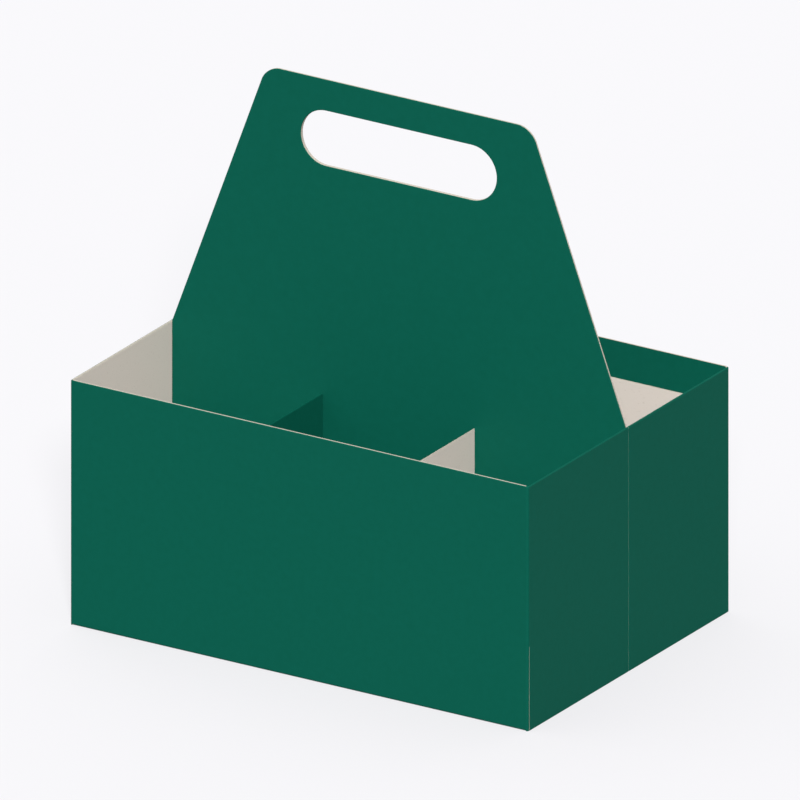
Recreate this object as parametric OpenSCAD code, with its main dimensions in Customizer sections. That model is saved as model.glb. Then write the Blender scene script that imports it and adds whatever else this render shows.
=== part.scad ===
// Carrier for six bottles, folded from printed board and glued.
// The origin is at the middle of the footprint, on the ground. X runs along the
// three cells of a row, the front faces -Y and the handle stands up along Z.

/* [Cells] */
// Length of one bottle cell along the carrier, three to a row
cell_length = 66; // [56:0.5:90]
// Clear width of one bottle cell, from a long wall to the handle
cell_width = 68.6; // [56:0.1:90]
// Height of the long walls and the end walls
wall_height = 97.6; // [90:0.1:130]

/* [Board] */
// Thickness of the printed board of the body and the handle
board = 0.8; // [0.5:0.05:1.2]
// Inside radius of every fold
fold_radius = 0.2; // [0.1:0.05:0.5]
// Gap that glue fills between two glued faces
glue_line = 0.05; // [0.02:0.01:0.1]
// Clearance round a sheet that slides into place
fit = 0.2; // [0.1:0.05:0.4]

/* [Body] */
// Height of the floor flaps turned up inside the end walls
end_flap_height = 33.6; // [20:0.1:60]
// Bevel on the upper corners of those flaps
end_flap_bevel = 6; // [2:0.5:15]
// Relief between those flaps and the folds of the long walls
end_flap_relief = 1; // [0.5:0.1:3]
// Seam between the two halves of an end wall
end_seam = 0.15; // [0.1:0.05:0.6]
// Clearance under the cut lower edge of the end walls
end_wall_lift = 0.15; // [0.1:0.05:0.6]
// Width of the relief slit at the foot of each corner, as high as those flaps
corner_slit = 0.15; // [0.1:0.05:0.6]

/* [Handle] */
// Height of the handle's top edge above the ground
handle_height = 208; // [180:0.5:280]
// Width of the handle's top edge, measured to its sharp corners
handle_top_width = 115.3; // [100:0.1:160]
// Radius of the two upper corners
handle_corner_radius = 8.5; // [4:0.5:14]
// Inset of the rear leaf's upper outline, which keeps it out of sight
rear_leaf_inset = 1; // [0.5:0.1:3]
// Length of the glued feet on the floor
foot_length = 18; // [10:0.5:30]
// Taper at each end of a foot
foot_taper = 4; // [1:0.5:8]

/* [Hand slot] */
// Length of the slot over its round ends
slot_length = 85.3; // [70:0.1:95]
// Height of the slot
slot_height = 22; // [16:0.5:30]
// Board left between the slot and the handle's top edge
slot_margin = 12.4; // [8:0.1:30]

/* [Partitions] */
// Height of the partitions' top edge above the ground
partition_height = 83; // [70:0.5:88]
// Thickness of the partitions' board
partition_board = 0.5; // [0.3:0.05:0.8]
// Gap between the end of a glue flange and the end wall
flange_gap = 6; // [3:0.5:30]
// Height at which partitions and handle cross in half-lap slits
lap_height = 42; // [36:0.5:60]

/* [Hidden] */

print_green = "#0F5C4C";
bare_board = "#D4CDC2";

$fn = 64;
// How far a cutting shape reaches past the faces that it cuts
over = 1;

cells_in_row = 3;
fold_outer = fold_radius + board;

// Handle: two leaves glued back to back on the middle plane
handle_thickness = 2 * board + glue_line;

// Body, outside and inside
body_length = cells_in_row * cell_length + 2 * board;
body_width = 2 * cell_width + handle_thickness + 2 * board;
inner_half_length = body_length / 2 - board;
inner_half_width = body_width / 2 - board;
wall_straight_half = body_length / 2 - fold_outer;
side_straight_half = body_width / 2 - fold_outer;
// Where the flat floor ends and its end flap starts to fold
floor_flat_half = inner_half_length - glue_line - fold_outer;
end_flap_half = side_straight_half - end_flap_relief;

// Partitions
partition_x = cell_length / 2;
partition_bottom = board + fold_radius;
flange_length = inner_half_length - flange_gap - partition_x + partition_board / 2;
partition_span = 2 * (inner_half_width - glue_line);

// Handle outline
leaf_side_half = inner_half_length - fit;
leaf_leg_half = floor_flat_half;
leaf_notch_top = end_flap_height + fit;
slope = atan((leaf_side_half - handle_top_width / 2) / (handle_height - wall_height));
corner_x = handle_top_width / 2 - handle_corner_radius * tan(45 - slope / 2);
corner_z = handle_height - handle_corner_radius;
slot_z = handle_height - slot_margin - slot_height / 2;
slit_half = partition_board / 2 + fit;
// The fold between a leaf and its feet
foot_bottom = board + glue_line;
foot_fold_y = glue_line / 2 + fold_outer;
foot_fold_z = foot_bottom + fold_outer;

// Rectangle with its two lower corners rounded, its base on y = 0
module round_bottomed(width, height, radius) {
    for (side = [-1, 1])
        translate([side * (width / 2 - radius), radius])
            circle(radius);
    translate([-width / 2 + radius, 0])
        square([width - 2 * radius, height]);
    translate([-width / 2, radius])
        square([width, height - radius]);
}

// Section of a sheet folded up at both sides
module folded_channel(width, height, thickness) {
    difference() {
        round_bottomed(width, height, fold_radius + thickness);
        translate([0, thickness])
            round_bottomed(width - 2 * thickness, height, fold_radius);
    }
}

// Section of a square fold of the body's board: the quarter ring in the first quadrant
module fold_section() {
    intersection() {
        difference() {
            circle(fold_outer);
            circle(fold_radius);
        }
        square(fold_outer);
    }
}

// Stand an XY profile up, so that its x runs along Y and its extrusion along X
module along_x(length) {
    rotate([90, 0, 90])
        linear_extrude(length)
            children();
}

// Stand an XY profile up in the XZ plane, extruded towards -Y
module along_minus_y(length) {
    rotate([90, 0, 0])
        linear_extrude(length)
            children();
}

// Floor and long walls, cut away where the end flaps fold up
module floor_and_long_walls() {
    difference() {
        translate([-wall_straight_half, 0, 0])
            along_x(2 * wall_straight_half)
                folded_channel(body_width, wall_height, board);
        for (side = [0, 1])
            mirror([side, 0, 0])
                translate([floor_flat_half, -side_straight_half, -over])
                    cube([body_length, 2 * side_straight_half, fold_outer + over]);
    }
}

// Half of the end wall at +X, folded from the long wall at +Y and slit beside its fold
module half_end_wall() {
    difference() {
        translate([0, 0, end_wall_lift])
            linear_extrude(wall_height - end_wall_lift) {
                translate([wall_straight_half, side_straight_half])
                    fold_section();
                translate([inner_half_length, end_seam / 2])
                    square([board, side_straight_half - end_seam / 2]);
            }
        translate([inner_half_length - over, side_straight_half - corner_slit, -over])
            cube([board + 2 * over, corner_slit, end_flap_height + over]);
    }
}

// Floor flap turned up inside the end wall at +X
module end_flap() {
    translate([floor_flat_half, end_flap_half, fold_outer])
        along_minus_y(2 * end_flap_half)
            mirror([0, 1])
                fold_section();
    translate([floor_flat_half + fold_radius, 0, 0])
        along_x(board)
            polygon([
                [-end_flap_half, fold_outer],
                [end_flap_half, fold_outer],
                [end_flap_half, end_flap_height - end_flap_bevel],
                [end_flap_half - end_flap_bevel, end_flap_height],
                [-end_flap_half + end_flap_bevel, end_flap_height],
                [-end_flap_half, end_flap_height - end_flap_bevel]
            ]);
}

module body() {
    color(print_green) {
        floor_and_long_walls();
        for (end = [0, 1])
            mirror([end, 0, 0]) {
                end_flap();
                for (side = [0, 1])
                    mirror([0, side, 0])
                        half_end_wall();
            }
    }
}

// Right half of a leaf's outline, its upper edges moved in by inset
module half_leaf_outline(inset) {
    radius = handle_corner_radius - inset;
    polygon([
        [0, foot_fold_z],
        [leaf_leg_half, foot_fold_z],
        [leaf_leg_half, leaf_notch_top],
        [leaf_side_half, leaf_notch_top],
        [leaf_side_half, wall_height - inset / sin(slope)],
        [corner_x + radius * cos(slope), corner_z + radius * sin(slope)],
        [corner_x, corner_z + radius],
        [0, corner_z + radius]
    ]);
    translate([corner_x, corner_z])
        circle(radius);
}

module hand_slot() {
    straight = slot_length - slot_height;
    translate([-straight / 2, slot_z - slot_height / 2])
        square([straight, slot_height]);
    for (side = [-1, 1])
        translate([side * straight / 2, slot_z])
            circle(slot_height / 2);
}

// Flat part of a leaf, slit from below to pass over the partitions
module leaf_outline(inset) {
    difference() {
        for (side = [0, 1])
            mirror([side, 0])
                half_leaf_outline(inset);
        hand_slot();
        for (side = [-1, 1])
            translate([side * partition_x - slit_half, 0])
                square([2 * slit_half, lap_height + fit]);
    }
}

// One foot, folded towards +Y between two places along X
module foot(from_x, to_x) {
    translate([from_x, foot_fold_y, foot_fold_z])
        along_x(to_x - from_x)
            rotate(180)
                fold_section();
    translate([0, 0, foot_bottom])
        linear_extrude(board)
            polygon([
                [from_x, foot_fold_y],
                [to_x, foot_fold_y],
                [to_x - foot_taper, glue_line / 2 + foot_length],
                [from_x + foot_taper, glue_line / 2 + foot_length]
            ]);
}

// A leaf of the handle with its feet towards +Y
module leaf(inset) {
    inner_x = partition_x - slit_half;
    outer_x = partition_x + slit_half;
    color(print_green) {
        translate([0, glue_line / 2 + board, 0])
            along_minus_y(board)
                leaf_outline(inset);
        foot(-inner_x, inner_x);
        for (side = [0, 1])
            mirror([side, 0, 0])
                foot(outer_x, leaf_leg_half);
    }
}

module handle_front_panel() {
    mirror([0, 1, 0])
        leaf(0);
}

module handle_rear_panel() {
    leaf(rear_leaf_inset);
}

// A divider across both rows, with glue flanges towards +X and a half-lap slit
module right_partition() {
    slit = handle_thickness + 2 * fit;
    color(bare_board)
        difference() {
            translate([partition_x - partition_board / 2, 0, partition_bottom])
                linear_extrude(partition_height - partition_bottom)
                    rotate(-90)
                        folded_channel(partition_span, flange_length, partition_board);
            translate([partition_x - over, -slit / 2, lap_height])
                cube([2 * over, slit, partition_height]);
        }
}

module left_partition() {
    mirror([1, 0, 0])
        right_partition();
}

body();
handle_front_panel();
handle_rear_panel();
left_partition();
right_partition();
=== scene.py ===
# %% [markdown]
# # A folded-board bottle carrier
# The carrier is packaging: five sheets of board, die-cut flat, printed green on one
# side, folded and glued. This lesson folds each sheet up again as a mesh, in the same
# order as a carton maker would, and gives it three finishes: the printed face, the bare
# back of the board, and the pale cut edge between them.
# The imported model comes first. It fixes where every sheet is.

# %% Load the imported model
import math

import bmesh
import bpy
from mathutils import Matrix, Vector


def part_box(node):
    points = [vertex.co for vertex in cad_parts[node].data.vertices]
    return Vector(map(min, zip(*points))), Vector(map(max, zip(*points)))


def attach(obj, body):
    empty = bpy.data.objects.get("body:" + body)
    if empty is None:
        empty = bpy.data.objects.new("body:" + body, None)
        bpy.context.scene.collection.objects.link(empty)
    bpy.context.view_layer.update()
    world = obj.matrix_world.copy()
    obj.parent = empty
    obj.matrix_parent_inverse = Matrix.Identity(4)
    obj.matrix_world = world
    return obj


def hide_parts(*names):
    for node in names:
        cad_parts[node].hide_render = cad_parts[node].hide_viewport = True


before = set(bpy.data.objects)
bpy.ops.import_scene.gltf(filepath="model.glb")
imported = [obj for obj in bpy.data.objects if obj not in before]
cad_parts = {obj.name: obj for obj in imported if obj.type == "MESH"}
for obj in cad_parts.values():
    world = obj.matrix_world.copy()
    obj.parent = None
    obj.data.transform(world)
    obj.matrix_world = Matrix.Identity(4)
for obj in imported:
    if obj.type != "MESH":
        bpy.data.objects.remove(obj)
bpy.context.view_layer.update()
print("CAD nodes:", sorted(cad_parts))

# %% [markdown]
# ## Sizes
# A carton designer writes a few numbers on the drawing and works out the rest. The
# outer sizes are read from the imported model, in metres. Board, folds and clearances
# can't be read from a box, so they are written here in millimetres.

# %% Sizes from the model and the drawing
MM = 0.001
BOARD = 0.8 * MM
PARTITION_BOARD = 0.5 * MM
FOLD_RADIUS = 0.2 * MM
GLUE_LINE = 0.05 * MM
FIT = 0.2 * MM
FOLD_OUTER = FOLD_RADIUS + BOARD

body_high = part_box("body")[1]
leaf_low, leaf_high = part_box("handle_front_panel")
rear_leaf_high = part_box("handle_rear_panel")[1]
partition_low, partition_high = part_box("right_partition")

half_length = body_high.x
half_width = body_high.y
wall_height = body_high.z
handle_height = leaf_high.z
outer_sizes = (2 * half_length, 2 * half_width, handle_height)
print("outer size in mm: %.1f x %.1f x %.1f" % tuple(size / MM for size in outer_sizes))

# %% [markdown]
# ## Folding a sheet
# A folded sheet could be cut out of boxes, but then its folds would be sharp and its
# thickness would have to be patched at every corner. Here the printed face is grown
# instead. It starts as a row of edges. Where the board runs flat, the leading edges are
# extruded, and where it folds, they are spun about the crease. Both moves hand back the
# new leading edges, so a whole sheet is a short list of moves.

# %% Start a sheet and let it run flat
def edge_chain(bm, points):
    """Start a sheet with a row of edges through the points."""
    verts = [bm.verts.new(point) for point in points]
    return [bm.edges.new(pair) for pair in zip(verts, verts[1:])]


def run_flat(bm, edges, step):
    """Let the board run flat from its leading edges, and return the new ones."""
    made = bmesh.ops.extrude_edge_only(bm, edges=edges)["geom"]
    verts = [item for item in made if isinstance(item, bmesh.types.BMVert)]
    bmesh.ops.translate(bm, verts=verts, vec=step)
    return [item for item in made if isinstance(item, bmesh.types.BMEdge)]


# %% Fold it about a crease
FOLD_STEPS = 6


def run_fold(bm, edges, crease, axis, degrees):
    """Fold the board about a crease line, and return the new leading edges."""
    ends = [vert for vert in bm.verts if any(edge in edges for edge in vert.link_edges)]
    made = bmesh.ops.spin(bm, geom=ends + edges, cent=crease, axis=axis, dvec=(0, 0, 0),
                          angle=math.radians(degrees), steps=FOLD_STEPS, use_duplicate=False)
    return [item for item in made["geom_last"] if isinstance(item, bmesh.types.BMEdge)]


print("a fold is spun in %d steps" % FOLD_STEPS)

# %% [markdown]
# A scrap strip shows the moves at work before they are trusted with a carton: a short
# run, a square fold and another run. The fold leaves the board upright, so the strip
# ends as high as the fold's outer radius plus its second run.

# %% Try the moves on a scrap strip
SCRAP_RUN = 5 * MM

scrap = bmesh.new()
scrap_edge = edge_chain(scrap, [(0, 0, 0), (SCRAP_RUN, 0, 0)])
scrap_edge = run_flat(scrap, scrap_edge, (0, SCRAP_RUN, 0))
scrap_edge = run_fold(scrap, scrap_edge, (0, SCRAP_RUN, FOLD_OUTER), (1, 0, 0), 90)
run_flat(scrap, scrap_edge, (0, 0, SCRAP_RUN))
scrap_top = max(vert.co.z for vert in scrap.verts)
print("scrap strip: %d faces, %.1f mm high" % (len(scrap.faces), scrap_top / MM))
scrap.free()

# %% [markdown]
# The carrier is the same on both sides of its middle planes, so only a part of each
# sheet is folded and the rest is mirrored. A mirrored copy is inside out, so the faces
# are made to agree afterwards, and then all are turned until the printed side is out.

# %% Find edges, mirror a sheet and turn its printed side out
WELD = 0.005 * MM
SAME = FIT / 10


def near(value, target):
    """Whether two lengths are the same on the drawing."""
    return abs(value - target) < SAME


def edges_where(bm, test):
    """The edges whose two ends both pass a test."""
    return [edge for edge in bm.edges if all(test(vert.co) for vert in edge.verts)]


def mirror_sheet(bm, axis):
    """Copy the sheet through the middle plane across an axis and weld it there."""
    bmesh.ops.mirror(bm, geom=bm.verts[:] + bm.edges[:] + bm.faces[:], matrix=Matrix(),
                     merge_dist=WELD, axis=axis)
    bmesh.ops.remove_doubles(bm, verts=bm.verts, dist=WELD)


def face_printed_side(bm, place, direction):
    """Turn all faces so that the one nearest a place looks in a direction."""
    bmesh.ops.recalc_face_normals(bm, faces=bm.faces)
    nearest = min(bm.faces, key=lambda face: (face.calc_center_median() - place).length)
    if nearest.normal.dot(direction) < 0:
        bmesh.ops.reverse_faces(bm, faces=bm.faces)


print("points within %.3f mm of each other are welded" % (WELD / MM))

# %% [markdown]
# ## Finishes
# Three surfaces show on printed board. The face carries one flat ink under a matt
# varnish. The back is grey recycled fibre with no coating, so it has short flecks and
# no shine. The cut edge shows the same fibre, in plies pressed together. Colours are
# written as sRGB hex values, the way a printer would name them, and one function turns
# them into the linear numbers that the renderer works with.

# %% Helpers for the finishes
def linear(hex_colour):
    """An sRGB hex value as linear red, green, blue and alpha."""
    channels = [int(hex_colour[i:i + 2], 16) / 255 for i in (0, 2, 4)]
    return tuple(c / 12.92 if c <= 0.04045 else ((c + 0.055) / 1.055) ** 2.4
                 for c in channels) + (1.0,)


def add_node(tree, kind, values=None, links=None, **settings):
    """Add a node, set its options and input values, and link its inputs."""
    made = tree.nodes.new(kind)
    for name, value in settings.items():
        setattr(made, name, value)
    for name, value in (values or {}).items():
        made.inputs[name].default_value = value
    for name, socket in (links or {}).items():
        tree.links.new(socket, made.inputs[name])
    return made


def noise(tree, millimetres, detail, place):
    """A noise with features of one size, as a value from 0 to 1."""
    made = add_node(tree, "ShaderNodeTexNoise",
                    {"Scale": 1 / (millimetres * MM), "Detail": detail}, {"Vector": place})
    return made.outputs["Fac"]


def new_material(name):
    """An empty material and its node tree."""
    material = bpy.data.materials.new(name)
    material.use_nodes = True
    material.node_tree.nodes.clear()
    return material, material.node_tree


print("a mid grey, 808080, is %.2f in linear light" % linear("808080")[0])

# %% [markdown]
# The printed face is solid board with one offset ink and a matt dispersion varnish. To
# the eye it is an even dark green: the ink follows the paper, so it is a shade lighter
# or darker in soft patches a few millimetres wide, and the fibres under it leave a fine
# grain that only shows where light grazes the sheet. Board has a grain direction, so
# the fibre pattern is stretched along the length of the carrier.

# %% Printed board
PRINT_LIGHT_HEX = "0B5E4E"
PRINT_DARK_HEX = "085847"
MOTTLE_MM = 2.5
MOTTLE_DETAIL = 3.0
FIBRE_MM = 0.6
FIBRE_DETAIL = 2.0
FIBRE_STRETCH = 4.0
FIBRE_BUMP = 0.06
FIBRE_DEPTH = 0.02 * MM
VARNISH_ROUGHNESS_LOW = 0.52
VARNISH_ROUGHNESS_HIGH = 0.64
VARNISH_SHINE = 0.05
BOARD_IOR = 1.45


def along_grain(tree, place):
    """A place on the sheet, stretched along the grain of the board."""
    made = add_node(tree, "ShaderNodeMapping", {"Scale": (1 / FIBRE_STRETCH, 1, 1)},
                    {"Vector": place})
    return made.outputs["Vector"]


def make_printed_board():
    # Even green ink with soft mottle, matt varnish and a hint of fibre under it.
    material, tree = new_material("offset_printed_board_matt_varnish")
    place = add_node(tree, "ShaderNodeTexCoord").outputs["Object"]
    mottle = noise(tree, MOTTLE_MM, MOTTLE_DETAIL, place)
    fibre = noise(tree, FIBRE_MM, FIBRE_DETAIL, along_grain(tree, place))
    ink = add_node(tree, "ShaderNodeMixRGB",
                   {"Color1": linear(PRINT_DARK_HEX), "Color2": linear(PRINT_LIGHT_HEX)},
                   {"Fac": mottle})
    grain = add_node(tree, "ShaderNodeBump", {"Strength": FIBRE_BUMP, "Distance": FIBRE_DEPTH},
                     {"Height": fibre})
    gloss = add_node(tree, "ShaderNodeMapRange",
                     {"To Min": VARNISH_ROUGHNESS_LOW, "To Max": VARNISH_ROUGHNESS_HIGH},
                     {"Value": fibre})
    shader = add_node(tree, "ShaderNodeBsdfPrincipled",
                      {"IOR": BOARD_IOR, "Specular IOR Level": VARNISH_SHINE},
                      {"Base Color": ink.outputs["Color"], "Roughness": gloss.outputs["Result"],
                       "Normal": grain.outputs["Normal"]})
    add_node(tree, "ShaderNodeOutputMaterial", links={"Surface": shader.outputs["BSDF"]})
    return material


printed_board = make_printed_board()
print("%s: %d nodes" % (printed_board.name, len(printed_board.node_tree.nodes)))

# %% [markdown]
# The back of the board is uncoated recycled pulp. Its colour is a warm grey, broken by
# short fibres: most a little darker, some paler. A fine noise, stretched along the
# grain and cut off at both ends, draws them as flecks about a millimetre long.

# %% Bare board
BARE_HEX = "E1D6CD"
BARE_FLECK_HEX = "D0C4B9"
BARE_PALE_HEX = "E4DAD1"
FLECK_MM = 0.5
FLECK_DETAIL = 4.0
FLECK_DARK_END = 0.27
FLECK_EVEN_RANGE = (0.36, 0.66)
FLECK_PALE_END = 0.80
FELT_BUMP = 0.15
FELT_DEPTH = 0.04 * MM
BARE_ROUGHNESS = 0.88
BARE_SHINE = 0.2


def make_bare_board():
    # Warm grey pulp without shine, with dark and pale fibres along the grain.
    material, tree = new_material("uncoated_recycled_board")
    place = add_node(tree, "ShaderNodeTexCoord").outputs["Object"]
    fleck = noise(tree, FLECK_MM, FLECK_DETAIL, along_grain(tree, place))
    pulp = add_node(tree, "ShaderNodeValToRGB", links={"Fac": fleck})
    ramp = pulp.color_ramp
    ramp.elements[0].position = FLECK_DARK_END
    ramp.elements[0].color = linear(BARE_FLECK_HEX)
    ramp.elements[1].position = FLECK_PALE_END
    ramp.elements[1].color = linear(BARE_PALE_HEX)
    for position in FLECK_EVEN_RANGE:
        ramp.elements.new(position).color = linear(BARE_HEX)
    felt = add_node(tree, "ShaderNodeBump", {"Strength": FELT_BUMP, "Distance": FELT_DEPTH},
                    {"Height": fleck})
    shader = add_node(tree, "ShaderNodeBsdfPrincipled",
                      {"Roughness": BARE_ROUGHNESS, "IOR": BOARD_IOR,
                       "Specular IOR Level": BARE_SHINE},
                      {"Base Color": pulp.outputs["Color"], "Normal": felt.outputs["Normal"]})
    add_node(tree, "ShaderNodeOutputMaterial", links={"Surface": shader.outputs["BSDF"]})
    return material


bare_board = make_bare_board()
print("%s: %d nodes" % (bare_board.name, len(bare_board.node_tree.nodes)))

# %% [markdown]
# A die-cut edge shows the middle of the board. Its plies are coarser pulp than the
# back, so it is a little darker, with thin streaks where they were pressed together. A
# ply is a tenth of a millimetre, too fine for the picture, so the streaks are drawn
# coarser.

# %% Cut edge
CORE_HEX = "C4BDB0"
CORE_PLY_HEX = "BAB2A5"
STREAK_MM = 0.5
STREAK_DETAIL = 2.0
CORE_ROUGHNESS = 0.92
CORE_SHINE = 0.1


def make_cut_edge():
    # Dry fibre, a shade darker than the back, with faint streaks between the plies.
    material, tree = new_material("die_cut_board_edge")
    place = add_node(tree, "ShaderNodeTexCoord").outputs["Object"]
    streak = noise(tree, STREAK_MM, STREAK_DETAIL, place)
    core = add_node(tree, "ShaderNodeMixRGB",
                    {"Color1": linear(CORE_PLY_HEX), "Color2": linear(CORE_HEX)},
                    {"Fac": streak})
    shader = add_node(tree, "ShaderNodeBsdfPrincipled",
                      {"Roughness": CORE_ROUGHNESS, "IOR": BOARD_IOR,
                       "Specular IOR Level": CORE_SHINE},
                      {"Base Color": core.outputs["Color"]})
    add_node(tree, "ShaderNodeOutputMaterial", links={"Surface": shader.outputs["BSDF"]})
    return material


cut_edge = make_cut_edge()
print("%s: %d nodes" % (cut_edge.name, len(cut_edge.node_tree.nodes)))

# %% [markdown]
# ## From sheet to board
# A Solidify modifier would give the sheet its thickness without showing which face is
# which. The bmesh operator does the same and returns the new faces, so the three
# finishes can be told apart by how their faces were made: the first faces are printed,
# the pushed copy is bare, and what joins the two is cut edge.

# %% Thickness and finishes
finishes = [printed_board, bare_board, cut_edge]
PRINT, BARE, EDGE = range(3)


def thicken(bm, thickness):
    """Give the sheet its thickness, and mark printed, bare and cut faces."""
    fronts = set(bm.faces)
    made = bmesh.ops.solidify(bm, geom=bm.faces[:], thickness=thickness)["geom"]
    backs = {item for item in made if isinstance(item, bmesh.types.BMFace)}
    for face in bm.faces:
        if face in fronts:
            face.material_index = PRINT
        elif face in backs:
            face.material_index = BARE
        else:
            face.material_index = EDGE


print("finishes:", ", ".join(material.name for material in finishes))

# %% [markdown]
# A steel rule cuts the board from its printed side. It presses the printed corner over
# a little, and the print runs round it. The upper edges of the end walls and the
# partitions are rolled over much more: the print runs over the top, and only a slope on
# the inside shows the cut edge. All of these are bevels, and each slope is given the
# finish that shows on it.

# %% Pressed and rolled edges
PRESSED_CORNER = 0.19 * MM
ROLLED_PRINT_SHARE = 0.45
ROLLED_BACK_SHARE = 0.45
SHARP_CORNER = math.radians(60)


def cut_faces(bm, test):
    """The cut faces whose middle passes a test."""
    return [face for face in bm.faces
            if face.material_index == EDGE and test(face.calc_center_median())]


def press(bm, test, finish, depth, shows):
    """Press over the corners of one finish at some cut faces, and finish the slopes."""
    cut = set(cut_faces(bm, test))
    corners = [edge for edge in bm.edges if cut.intersection(edge.link_faces)
               and any(face.material_index == finish for face in edge.link_faces)
               and edge.calc_face_angle(0) > SHARP_CORNER]
    slopes = bmesh.ops.bevel(bm, geom=corners, offset=depth, offset_type="OFFSET", affect="EDGES",
                             segments=1, profile=0.5, material=-1)["faces"]
    for slope in slopes:
        slope.material_index = shows


def roll_rim(bm, test, thickness):
    """Roll cut edges over: print runs over the top, and the slope inside stays cut."""
    press(bm, test, PRINT, ROLLED_PRINT_SHARE * thickness, PRINT)
    press(bm, test, BARE, ROLLED_BACK_SHARE * thickness, EDGE)
    for face in cut_faces(bm, test):
        face.material_index = PRINT


print("printed corners pressed over by %.2f mm" % (PRESSED_CORNER / MM))

# %% [markdown]
# A finished sheet becomes an object that rides on the carrier's one body. It stands for
# the CAD node of the same sheet, which is hidden. Its place is in its mesh, and the
# object itself stays at the origin, so the patterns on it stay where they are.

# %% Finished pieces
def finish_piece(bm, name, node):
    """Make the object, and let it stand for its CAD node."""
    mesh = bpy.data.meshes.new(name)
    bm.to_mesh(mesh)
    bm.free()
    for material in finishes:
        mesh.materials.append(material)
    piece = bpy.data.objects.new(name, mesh)
    bpy.context.scene.collection.objects.link(piece)
    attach(piece, "root")
    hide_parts(node)
    print("%s: %d faces" % (name, len(mesh.polygons)))


# %% [markdown]
# ## The body
# The body is one sheet: floor, two long walls, and at each end two half walls that fold
# round from the long walls and meet in the middle. It is the same in all four quarters,
# so one quarter is folded. It starts at the front wall's rim, runs down the wall and
# folds under to become the floor.

# %% Front wall and floor
END_FLAP_HEIGHT = 33.6 * MM
END_FLAP_RELIEF = 1 * MM

inner_half_length = half_length - BOARD
inner_half_width = half_width - BOARD
wall_straight = half_length - FOLD_OUTER
side_straight = half_width - FOLD_OUTER
floor_flat = inner_half_length - GLUE_LINE - FOLD_OUTER


def fold_wall_and_floor(bm):
    """The right half of the front wall, and the floor up to the middle."""
    rim = edge_chain(bm, [(x, -half_width, wall_height) for x in (0, floor_flat, wall_straight)])
    slit_level = run_flat(bm, rim, (0, 0, END_FLAP_HEIGHT - wall_height))
    wall_foot = run_flat(bm, slit_level, (0, 0, FOLD_OUTER - END_FLAP_HEIGHT))
    folded = run_fold(bm, wall_foot, (0, -side_straight, FOLD_OUTER), (1, 0, 0), 90)
    floor_start = [edge for edge in folded
                   if edge.verts[0].co.x + edge.verts[1].co.x < 2 * floor_flat]
    flap_side = run_flat(bm, floor_start, (0, END_FLAP_RELIEF, 0))
    run_flat(bm, flap_side, (0, side_straight - END_FLAP_RELIEF, 0))


print("floor flat to %.2f mm from the middle" % (floor_flat / MM))

# %% [markdown]
# A flap at each end of the floor turns up inside the end wall and is glued to it, so
# that it bridges the seam between the two halves. Its upper corners are cut off, to let
# it slip in without catching.

# %% End flap
END_FLAP_BEVEL = 6 * MM


def fold_end_flap(bm):
    """Half of the flap at the right end of the floor."""
    flap_foot = edges_where(bm, lambda co: near(co.x, floor_flat) and near(co.z, 0)
                            and co.y > END_FLAP_RELIEF / 2 - side_straight)
    folded = run_fold(bm, flap_foot, (floor_flat, 0, FOLD_OUTER), (0, 1, 0), -90)
    flap_top = run_flat(bm, folded, (0, 0, END_FLAP_HEIGHT - FOLD_OUTER))
    corner = min((vert for edge in flap_top for vert in edge.verts), key=lambda vert: vert.co.y)
    bmesh.ops.bevel(bm, geom=[corner], offset=END_FLAP_BEVEL, offset_type="OFFSET",
                    affect="VERTICES", segments=1, profile=0.5, material=-1)


print("end flap %.1f mm high" % (END_FLAP_HEIGHT / MM))

# %% [markdown]
# The end wall goes on from the front wall, round an upright fold, and stops at the seam
# in the middle. A short slit beside the fold, as high as the flap, frees the lower part
# of the wall while the flap is turned up behind it.

# %% End wall
END_SEAM = 0.15 * MM
END_WALL_LIFT = 0.15 * MM
CORNER_SLIT = 0.15 * MM


def fold_end_wall(bm):
    """The front half of the right end wall."""
    wall_end = edges_where(bm, lambda co: near(co.x, wall_straight) and near(co.y, -half_width))
    folded = run_fold(bm, wall_end, (wall_straight, -side_straight, 0), (0, 0, 1), 90)
    fold_foot = edges_where(bm, lambda co: co.x > wall_straight - SAME
                            and co.y < SAME - side_straight and near(co.z, FOLD_OUTER))
    run_flat(bm, fold_foot, (0, 0, END_WALL_LIFT - FOLD_OUTER))

    upper = [edge for edge in folded
             if min(vert.co.z for vert in edge.verts) > END_FLAP_HEIGHT - FIT]
    past_slit = run_flat(bm, upper, (0, CORNER_SLIT, 0))
    run_flat(bm, past_slit, (0, side_straight - CORNER_SLIT - END_SEAM / 2, 0))
    hanging = edges_where(bm, lambda co: near(co.x, half_length) and near(co.z, END_FLAP_HEIGHT)
                          and co.y > CORNER_SLIT / 2 - side_straight)
    run_flat(bm, hanging, (0, 0, END_WALL_LIFT - END_FLAP_HEIGHT))


print("each half of an end wall %.1f mm wide" % ((half_width - END_SEAM / 2) / MM))

# %% [markdown]
# Two mirrors complete the sheet, it gets its thickness, and the edges that show are
# pressed: the seam and the slits then show as pale hairlines. At a slit the wall's side
# is pressed less than the fold's side, so that more of its cut edge shows. Inside, only
# the long walls are printed. The floor and the ends stay bare, because glue holds better
# on bare board.

# %% The whole body
SLIT_CORNER = 0.135 * MM


def beside_fold(place):
    """Whether a cut face is the wall's side of a corner slit."""
    return abs(place.x) > inner_half_length and near(abs(place.y), side_straight - CORNER_SLIT)


def on_show(place):
    """Whether a cut face is a rim, or at the seam or the fold's side of a slit."""
    outside = abs(place.x) > inner_half_length and place.z > FIT
    return near(place.z, wall_height) or (outside and not beside_fold(place))


def print_long_walls(bm):
    """Print the inner faces of the long walls."""
    for face in bm.faces:
        place = face.calc_center_median()
        along = abs(place.x) < wall_straight and place.z > FOLD_OUTER
        if face.material_index == BARE and along and abs(place.y) > inner_half_width - FIT:
            face.material_index = PRINT


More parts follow.
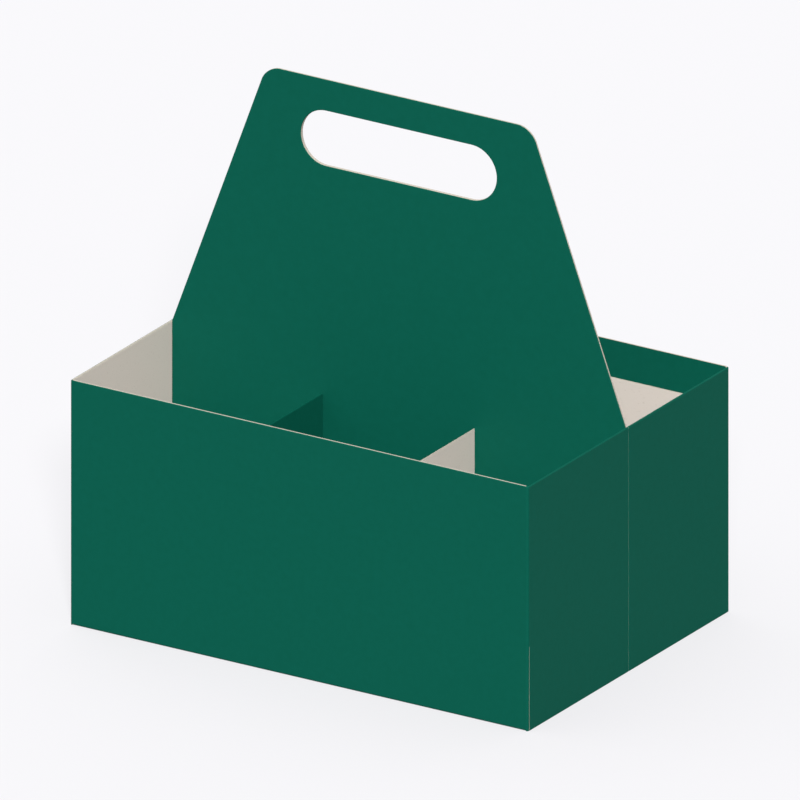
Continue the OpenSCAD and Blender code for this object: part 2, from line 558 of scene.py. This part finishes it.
def make_body():
    bm = bmesh.new()
    fold_wall_and_floor(bm)
    fold_end_flap(bm)
    fold_end_wall(bm)
    mirror_sheet(bm, "X")
    mirror_sheet(bm, "Y")
    face_printed_side(bm, Vector((0, -half_width, wall_height / 2)), Vector((0, -1, 0)))
    thicken(bm, BOARD)
    roll_rim(bm, lambda place: near(place.z, wall_height) and abs(place.x) > wall_straight, BOARD)
    press(bm, on_show, PRINT, PRESSED_CORNER, PRINT)
    press(bm, beside_fold, PRINT, SLIT_CORNER, PRINT)
    print_long_walls(bm)
    finish_piece(bm, "carrier_body", "body")


make_body()

# %% [markdown]
# ## The handle
# Two leaves are glued back to back. Each is a tapered panel with a rounded hand slot,
# slit from below to straddle the partitions, and its feet fold out on the floor. The
# rear leaf is cut a little smaller, so that from the front only one edge shows round
# the outline, and both show in the slot. Half the outline is drawn with sharp corners.
# Vertex bevels then round the upper corner and the slot, which needs no list of points
# along the arcs.

# %% Half the outline of a leaf
HANDLE_TOP_WIDTH = 115.3 * MM
HANDLE_CORNER_RADIUS = 8.5 * MM
SLOT_LENGTH = 85.3 * MM
SLOT_HEIGHT = 22 * MM
SLOT_MARGIN = 12.4 * MM
LAP_HEIGHT = 42 * MM
ROUND_SEGMENTS = 16

leaf_side = leaf_high.x
partition_x = partition_low.x + PARTITION_BOARD / 2
slit_half = PARTITION_BOARD / 2 + FIT
leaf_face = GLUE_LINE / 2 + BOARD
leg_foot = BOARD + GLUE_LINE + FOLD_OUTER
slope = math.atan((leaf_side - HANDLE_TOP_WIDTH / 2) / (handle_height - wall_height))


def round_corners(bm, verts, tangent):
    """Round corners of an outline, each from a given distance before it."""
    bmesh.ops.bevel(bm, geom=verts, offset=tangent, offset_type="OFFSET", affect="VERTICES",
                    segments=ROUND_SEGMENTS, profile=0.5, material=-1)


def draw_half_leaf(bm, inset):
    """The half outline with positive X, flat on the front of the handle."""
    top = handle_height - inset
    slot_top = handle_height - SLOT_MARGIN
    slot_bottom = slot_top - SLOT_HEIGHT
    top_half = leaf_side - ((top - wall_height) * math.sin(slope) + inset) / math.cos(slope)
    top_corner = (top_half, top)
    slot_corners = [(SLOT_LENGTH / 2, slot_top), (SLOT_LENGTH / 2, slot_bottom)]
    outline = [
        (0, leg_foot),
        (partition_x - slit_half, leg_foot),
        (partition_x - slit_half, LAP_HEIGHT + FIT),
        (partition_x + slit_half, LAP_HEIGHT + FIT),
        (partition_x + slit_half, leg_foot),
        (floor_flat, leg_foot),
        (floor_flat, END_FLAP_HEIGHT + FIT),
        (leaf_side, END_FLAP_HEIGHT + FIT),
        (leaf_side, wall_height - inset / math.sin(slope)),
        top_corner,
        (0, top),
        (0, slot_top),
        *slot_corners,
        (0, slot_bottom),
    ]
    verts = {place: bm.verts.new((place[0], -leaf_face, place[1])) for place in outline}
    bm.faces.new(verts.values())
    radius = HANDLE_CORNER_RADIUS - inset
    round_corners(bm, [verts[top_corner]], radius * math.tan(math.radians(45) - slope / 2))
    round_corners(bm, [verts[corner] for corner in slot_corners], SLOT_HEIGHT / 2)
    bmesh.ops.remove_doubles(bm, verts=bm.verts, dist=WELD)


print("handle sides lean in %.1f degrees" % math.degrees(slope))

# %% [markdown]
# Each leg of a leaf ends in a foot that folds out on the floor, printed side up, and
# narrows towards its tip, so that its corners can't lift. Half a turn about the upright
# axis makes a rear leaf of a front one.

# %% Fold the feet and finish the leaves
FOOT_TAPER = 4 * MM

foot_end = -leaf_low.y
rear_inset = leaf_high.z - rear_leaf_high.z
HALF_TURN = Matrix.Rotation(math.pi, 3, "Z")


def fold_feet(bm):
    """Fold a foot out from the lower edge of each leg."""
    for leg in edges_where(bm, lambda co: near(co.z, leg_foot)):
        folded = run_fold(bm, [leg], (0, -leaf_face - FOLD_RADIUS, leg_foot), (1, 0, 0), -90)
        tip = run_flat(bm, folded, (0, leaf_face + FOLD_RADIUS - foot_end, 0))
        ends = sorted(tip[0].verts, key=lambda vert: vert.co.x)
        ends[1].co.x -= FOOT_TAPER
        if ends[0].co.x > FIT:
            ends[0].co.x += FOOT_TAPER


def make_leaf(name, node, inset, turned):
    bm = bmesh.new()
    draw_half_leaf(bm, inset)
    fold_feet(bm)
    mirror_sheet(bm, "X")
    face_printed_side(bm, Vector((0, -leaf_face, wall_height)), Vector((0, -1, 0)))
    thicken(bm, BOARD)
    press(bm, lambda place: True, PRINT, PRESSED_CORNER, PRINT)
    if turned:
        bmesh.ops.rotate(bm, verts=bm.verts, cent=(0, 0, 0), matrix=HALF_TURN)
    finish_piece(bm, name, node)


make_leaf("handle_front_leaf", "handle_front_panel", 0, turned=False)
make_leaf("handle_rear_leaf", "handle_rear_panel", rear_inset, turned=True)

# %% [markdown]
# ## The partitions
# Each partition is a thinner sheet folded to a C in plan. Its divider crosses both rows
# of cells and passes the handle in a half-lap slit, and its flanges are glued to the
# long walls. The printed side is outside the fold, so it faces the middle cell, and the
# outer cells see bare board. Half of the right one is folded and mirrored across the
# carrier, and the left one is the same sheet turned half a turn.

# %% Fold the partitions
partition_fold = FOLD_RADIUS + PARTITION_BOARD
divider_face = partition_low.x
flange_face = partition_high.y
fold_y = flange_face - partition_fold
lap_slit_half = leaf_face + FIT


def make_partition(name, node, turned):
    bm = bmesh.new()
    levels = (partition_low.z, LAP_HEIGHT, partition_high.z)
    start = edge_chain(bm, [(divider_face, fold_y, z) for z in levels])
    beside_slit = run_flat(bm, start, (0, lap_slit_half - fold_y, 0))
    under_slit = [edge for edge in beside_slit
                  if max(vert.co.z for vert in edge.verts) < LAP_HEIGHT + FIT]
    run_flat(bm, under_slit, (0, -lap_slit_half, 0))
    flange = run_fold(bm, start, (divider_face + partition_fold, fold_y, 0), (0, 0, 1), -90)
    run_flat(bm, flange, (partition_high.x - divider_face - partition_fold, 0, 0))
    mirror_sheet(bm, "Y")
    face_printed_side(bm, Vector((divider_face, fold_y / 2, LAP_HEIGHT)), Vector((-1, 0, 0)))
    thicken(bm, PARTITION_BOARD)
    roll_rim(bm, lambda place: near(place.z, partition_high.z), PARTITION_BOARD)
    press(bm, lambda place: True, PRINT, PRESSED_CORNER, PRINT)
    if turned:
        bmesh.ops.rotate(bm, verts=bm.verts, cent=(0, 0, 0), matrix=HALF_TURN)
    finish_piece(bm, name, node)


make_partition("left_partition_sheet", "left_partition", turned=True)
make_partition("right_partition_sheet", "right_partition", turned=False)

# %% [markdown]
# ## Camera
# The view is a parallel one, as on a packaging drawing, so the camera is orthographic.
# It looks down 22 degrees, from 32 degrees right of the front. With such a camera the
# distance changes nothing but what it can cut off, so it only has to be clear.

# %% Camera
VIEW_AZIMUTH = math.radians(32)
VIEW_ELEVATION = math.radians(22)
VIEW_WIDTH = 295.6 * MM
AIM = Vector((0.1 * MM, 0, 86.9 * MM))
CAMERA_DISTANCE = 1.5


def outward(azimuth, elevation):
    """Direction from the carrier towards a camera or lamp."""
    return Vector((math.sin(azimuth) * math.cos(elevation),
                   -math.cos(azimuth) * math.cos(elevation), math.sin(elevation)))


def place_camera():
    camera = bpy.data.cameras.new("view_camera")
    camera.type = "ORTHO"
    camera.ortho_scale = VIEW_WIDTH
    holder = bpy.data.objects.new("view_camera", camera)
    towards = outward(VIEW_AZIMUTH, VIEW_ELEVATION)
    holder.location = AIM + CAMERA_DISTANCE * towards
    holder.rotation_euler = towards.to_track_quat("Z", "Y").to_euler()
    bpy.context.scene.collection.objects.link(holder)
    bpy.context.scene.camera = holder


place_camera()
bpy.context.scene.view_settings.view_transform = "Standard"
print("view %.1f mm wide" % (VIEW_WIDTH / MM))

# %% [markdown]
# ## Key lamp
# One lamp stands a little above the camera and a little to the right of it. The right
# end then gets about two thirds of the light that the front gets, and the shadows fall
# behind the carrier, where this view doesn't see them. A sun lamp keeps the light even
# across the board, and its angle makes the edges of the shadows soft.

# %% Key lamp
LAMP_AZIMUTH = math.radians(34)
LAMP_ELEVATION = math.radians(30)
LAMP_STRENGTH = 3.05
LAMP_SOFTNESS = math.radians(8)


def hang_lamp():
    lamp = bpy.data.lights.new("key_lamp", "SUN")
    lamp.energy = LAMP_STRENGTH
    lamp.angle = LAMP_SOFTNESS
    holder = bpy.data.objects.new("key_lamp", lamp)
    holder.rotation_euler = outward(LAMP_AZIMUTH, LAMP_ELEVATION).to_track_quat("Z", "Y").to_euler()
    bpy.context.scene.collection.objects.link(holder)


hang_lamp()
print("key lamp at %.0f degrees" % math.degrees(LAMP_ELEVATION))

# %% [markdown]
# ## Sky
# A little light comes from all round, and more from a soft area high on the left and
# behind, which lights the back, the left end and the insides of the cells. Both are
# drawn in the world. The eye should see a pale paper background there and not the
# lights, so rays that show a surface to the eye get the background colour, and only the
# rays of light get the sky.

# %% Sky
BACKGROUND_HEX = "FAF9FC"
SKY_HEX = "FFFFFF"
SKY_STRENGTH = 0.14
SOFTBOX_STRENGTH = 1.4
SOFTBOX_AZIMUTH = math.radians(240)
SOFTBOX_ELEVATION = math.radians(60)


def rays_of_sight(tree):
    """A socket that is 1 for rays that show a surface to the eye, and 0 for rays of light."""
    path = add_node(tree, "ShaderNodeLightPath").outputs
    sight = path["Is Camera Ray"]
    for kind in ("Is Glossy Ray", "Is Transmission Ray"):
        either = add_node(tree, "ShaderNodeMath", links={0: sight, 1: path[kind]},
                          operation="MAXIMUM")
        sight = either.outputs["Value"]
    return sight


def light_sky():
    world = bpy.data.worlds.new("studio_sky")
    bpy.context.scene.world = world
    world.use_nodes = True
    tree = world.node_tree
    tree.nodes.clear()
    direction = add_node(tree, "ShaderNodeTexCoord").outputs["Generated"]
    towards_box = add_node(tree, "ShaderNodeVectorMath",
                           {1: outward(SOFTBOX_AZIMUTH, SOFTBOX_ELEVATION)},
                           {0: direction}, operation="DOT_PRODUCT")
    brightness = add_node(tree, "ShaderNodeMapRange",
                          {"To Min": SKY_STRENGTH, "To Max": SOFTBOX_STRENGTH},
                          {"Value": towards_box.outputs["Value"]}, interpolation_type="SMOOTHSTEP")
    light = add_node(tree, "ShaderNodeBackground", {"Color": linear(SKY_HEX)},
                     {"Strength": brightness.outputs["Result"]})
    paper = add_node(tree, "ShaderNodeBackground", {"Color": linear(BACKGROUND_HEX)})
    mixed = add_node(tree, "ShaderNodeMixShader",
                     links={0: rays_of_sight(tree), 1: light.outputs["Background"],
                            2: paper.outputs["Background"]})
    add_node(tree, "ShaderNodeOutputWorld", links={"Surface": mixed.outputs["Shader"]})


light_sky()
print("sky from %.1f to %.1f" % (SKY_STRENGTH, SOFTBOX_STRENGTH))

# %% [markdown]
# ## Floor
# The floor is pale and keeps the carrier's soft shadow. A white floor would throw so
# much light back up that the walls lost their shading, so the rays of light meet a grey
# floor, and only the rays of sight see the pale one. Part of that pale tone glows by
# itself, which keeps the shadow light.

# %% Floor
FLOOR_SIZE = 3.0
FLOOR_HEX = "D7D7D9"
FLOOR_BOUNCE_HEX = "606060"
FLOOR_EVENNESS = 0.72
FLOOR_GLOW = 1.0


def make_floor():
    material, tree = new_material("matt_studio_floor")
    shaded = add_node(tree, "ShaderNodeBsdfDiffuse", {"Color": linear(FLOOR_HEX)})
    even = add_node(tree, "ShaderNodeEmission",
                    {"Color": linear(BACKGROUND_HEX), "Strength": FLOOR_GLOW})
    shown = add_node(tree, "ShaderNodeMixShader", {0: FLOOR_EVENNESS},
                     {1: shaded.outputs["BSDF"], 2: even.outputs["Emission"]})
    bounce = add_node(tree, "ShaderNodeBsdfDiffuse", {"Color": linear(FLOOR_BOUNCE_HEX)})
    mixed = add_node(tree, "ShaderNodeMixShader",
                     links={0: rays_of_sight(tree), 1: bounce.outputs["BSDF"],
                            2: shown.outputs["Shader"]})
    add_node(tree, "ShaderNodeOutputMaterial", links={"Surface": mixed.outputs["Shader"]})
    bm = bmesh.new()
    bmesh.ops.create_grid(bm, x_segments=1, y_segments=1, size=FLOOR_SIZE)
    mesh = bpy.data.meshes.new("studio_floor")
    bm.to_mesh(mesh)
    bm.free()
    mesh.materials.append(material)
    floor = bpy.data.objects.new("studio_floor", mesh)
    bpy.context.scene.collection.objects.link(floor)


make_floor()
print("floor reaches %.0f m from the carrier" % FLOOR_SIZE)
